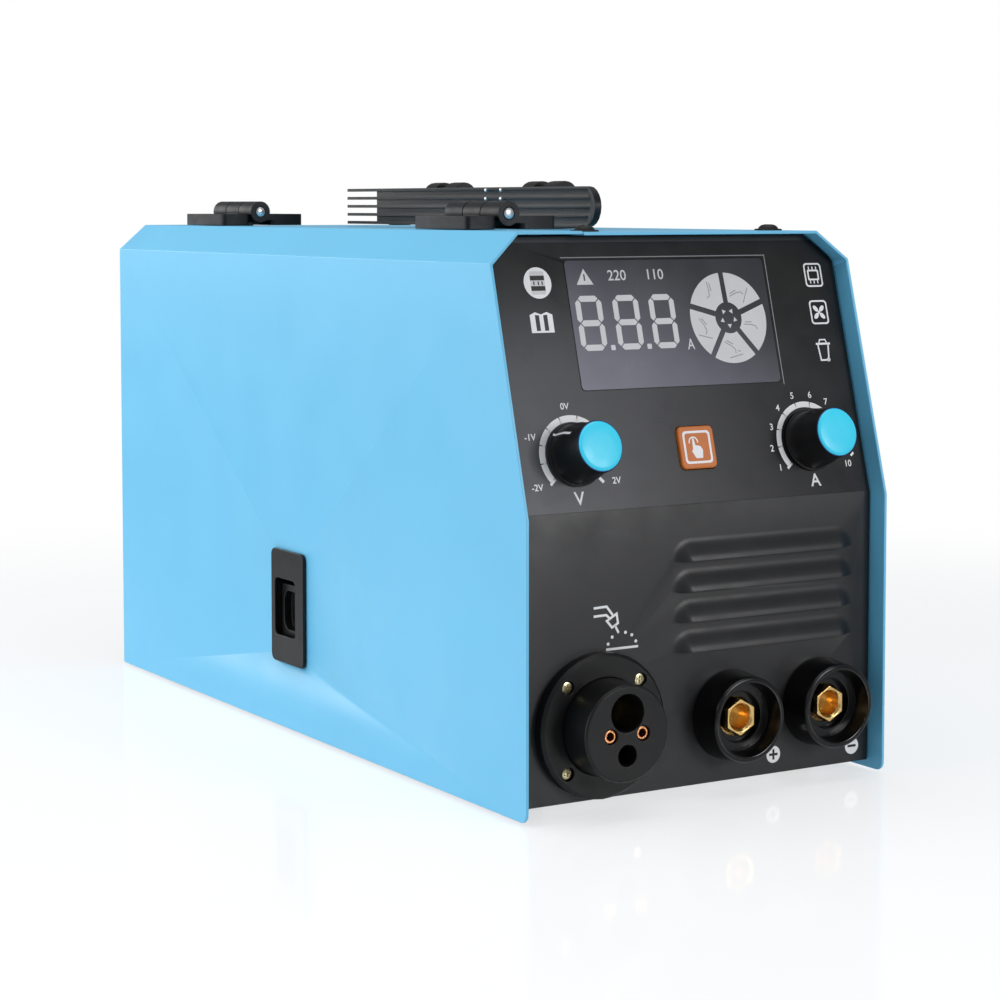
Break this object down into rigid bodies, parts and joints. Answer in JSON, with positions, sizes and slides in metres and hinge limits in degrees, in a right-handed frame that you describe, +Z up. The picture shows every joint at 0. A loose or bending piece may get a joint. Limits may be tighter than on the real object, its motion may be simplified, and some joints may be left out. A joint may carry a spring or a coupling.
{
  "type": "mig welding machine",
  "caption": "Portable inverter welding machine with a sloped control panel, front output sockets, folding top handle and a hinged side door over its wire feeder.",
  "frame": {"origin": "centre of the bounding box's footprint, on the floor plane under the rubber feet", "axes": "+X to the machine's right seen from the front, +Y to the rear, +Z up"},
  "size_m": [0.2242, 0.53, 0.313],
  "materials": {
    "blue_paint": "satin textured",
    "black_paint": "satin",
    "zinc_sheet": "brushed",
    "rubber": "matte",
    "hinge_plastic": "matte",
    "pin_steel": "satin",
    "black_plastic": "satin",
    "overlay_film": "satin",
    "smoked_window": "gloss",
    "cap_blue": "satin",
    "button_orange": "satin",
    "brass": "polished",
    "aluminium": "cast",
    "board_green": "satin",
    "coil_amber": "varnished",
    "knob_red": "satin",
    "spool_plastic": "satin"
  },
  "bodies": {
    "case": {"base_pan": "zinc_sheet", "front_panel": "black_paint", "rear_panel": "black_paint", "top_cover": "blue_paint", "centre_partition": "zinc_sheet", "foot_front_left": "rubber", "foot_front_right": "rubber", "foot_rear_left": "rubber", "foot_rear_right": "rubber", "hinge_front_cover_leaf": "hinge_plastic", "hinge_front_pin": "pin_steel", "hinge_rear_cover_leaf": "hinge_plastic", "hinge_rear_pin": "pin_steel", "latch_keeper": "zinc_sheet", "handle_bracket_front": "hinge_plastic", "handle_bracket_rear": "hinge_plastic", "handle_pin_front": "pin_steel", "handle_pin_rear": "pin_steel", "control_overlay": "overlay_film", "display_window": "smoked_window", "control_board": "board_green", "torch_flange": "black_plastic", "torch_core": "black_plastic", "torch_contact_left": "brass", "torch_contact_right": "brass", "torch_wire_inlet": "brass", "positive_socket_collar": "black_plastic", "positive_socket_contact": "brass", "negative_socket_collar": "black_plastic", "negative_socket_contact": "brass", "feed_motor": "pin_steel", "feed_plate": "aluminium", "main_board": "board_green", "heatsink": "aluminium", "transformer": "coil_amber", "fan_frame": "black_plastic", "power_switch_body": "black_plastic", "cable_gland": "black_plastic", "gas_inlet": "brass"},
    "door": {"side_door": "blue_paint", "hinge_front_door_leaf": "hinge_plastic", "hinge_rear_door_leaf": "hinge_plastic", "latch_bezel": "black_plastic", "latch_spring": "pin_steel"},
    "latch": {"latch_slider": "black_plastic"},
    "handle": {"handle_bail": "hinge_plastic"},
    "mode_button": {"mode_button": "button_orange"},
    "voltage_dial": {"voltage_knob": "black_plastic", "voltage_knob_cap": "cap_blue"},
    "current_dial": {"current_knob": "black_plastic", "current_knob_cap": "cap_blue"},
    "drive_roll": {"drive_roll": "pin_steel"},
    "pressure_arm": {"pressure_arm": "aluminium"},
    "pressure_roll": {"pressure_roll": "pin_steel"},
    "tensioner": {"tension_screw": "knob_red"},
    "spool": {"wire_spool": "spool_plastic", "spool_hub": "black_plastic", "spool_nut": "black_plastic"},
    "fan": {"fan_rotor": "black_plastic"},
    "rocker": {"power_switch_rocker": "knob_red"}
  },
  "joints": [
    {"name": "door_hinge", "type": "hinge", "parent": "case", "child": "door", "pos_m": [-0.05515, 0.03405, 0.2951], "axis": [0, 1, 0], "range_deg": [0, 100]},
    {"name": "latch_lift", "type": "slide", "parent": "door", "child": "latch", "axis": [0, 0, 1], "range_m": [0, 0.008], "stiffness_N_per_m": 300, "springref_m": -0.004, "deforming": ["latch_spring"]},
    {"name": "handle_fold", "type": "hinge", "parent": "case", "child": "handle", "pos_m": [0.02715, 0.00505, 0.3045], "axis": [0, 1, 0], "range_deg": [0, 90]},
    {"name": "mode_button_press", "type": "slide", "parent": "case", "child": "mode_button", "axis": [0, 0.9638, -0.2668], "range_m": [0, 0.0012], "stiffness_N_per_m": 800, "springref_m": -0.0006},
    {"name": "voltage_turn", "type": "hinge", "parent": "case", "child": "voltage_dial", "pos_m": [-0.07105, -0.2417, 0.17994], "axis": [0, 0.9638, -0.2668], "range_deg": [-150, 150]},
    {"name": "current_turn", "type": "hinge", "parent": "case", "child": "current_dial", "pos_m": [0.07415, -0.2417, 0.17994], "axis": [0, 0.9638, -0.2668], "range_deg": [-150, 150]},
    {"name": "drive_roll_spin", "type": "hinge", "parent": "case", "child": "drive_roll", "pos_m": [-0.06185, -0.11895, 0.0383], "axis": [1, 0, 0], "continuous": true},
    {"name": "tension_tip", "type": "hinge", "parent": "case", "child": "tensioner", "pos_m": [-0.06185, -0.15095, 0.042], "axis": [1, 0, 0], "range_deg": [0, 50]},
    {"name": "pressure_arm_lift", "type": "hinge", "parent": "case", "child": "pressure_arm", "pos_m": [-0.05185, -0.08395, 0.072], "axis": [-1, 0, 0], "range_deg": [0, 28]},
    {"name": "pressure_roll_spin", "type": "hinge", "parent": "pressure_arm", "child": "pressure_roll", "pos_m": [-0.06185, -0.11895, 0.0691], "axis": [1, 0, 0], "continuous": true},
    {"name": "spool_spin", "type": "hinge", "parent": "case", "child": "spool", "pos_m": [-0.05785, 0.12105, 0.15], "axis": [1, 0, 0], "continuous": true},
    {"name": "fan_spin", "type": "hinge", "parent": "case", "child": "fan", "pos_m": [0.04715, 0.22905, 0.1], "axis": [0, 1, 0], "continuous": true},
    {"name": "power_rocker_tip", "type": "hinge", "parent": "case", "child": "rocker", "pos_m": [0.07915, 0.24695, 0.222], "axis": [1, 0, 0], "range_deg": [0, 18]}
  ],
  "couplings": [
    {"joint": "pressure_arm_lift", "follows": "tension_tip", "ratio": 0.56},
    {"joint": "pressure_roll_spin", "follows": "drive_roll_spin", "ratio": -1}
  ]
}
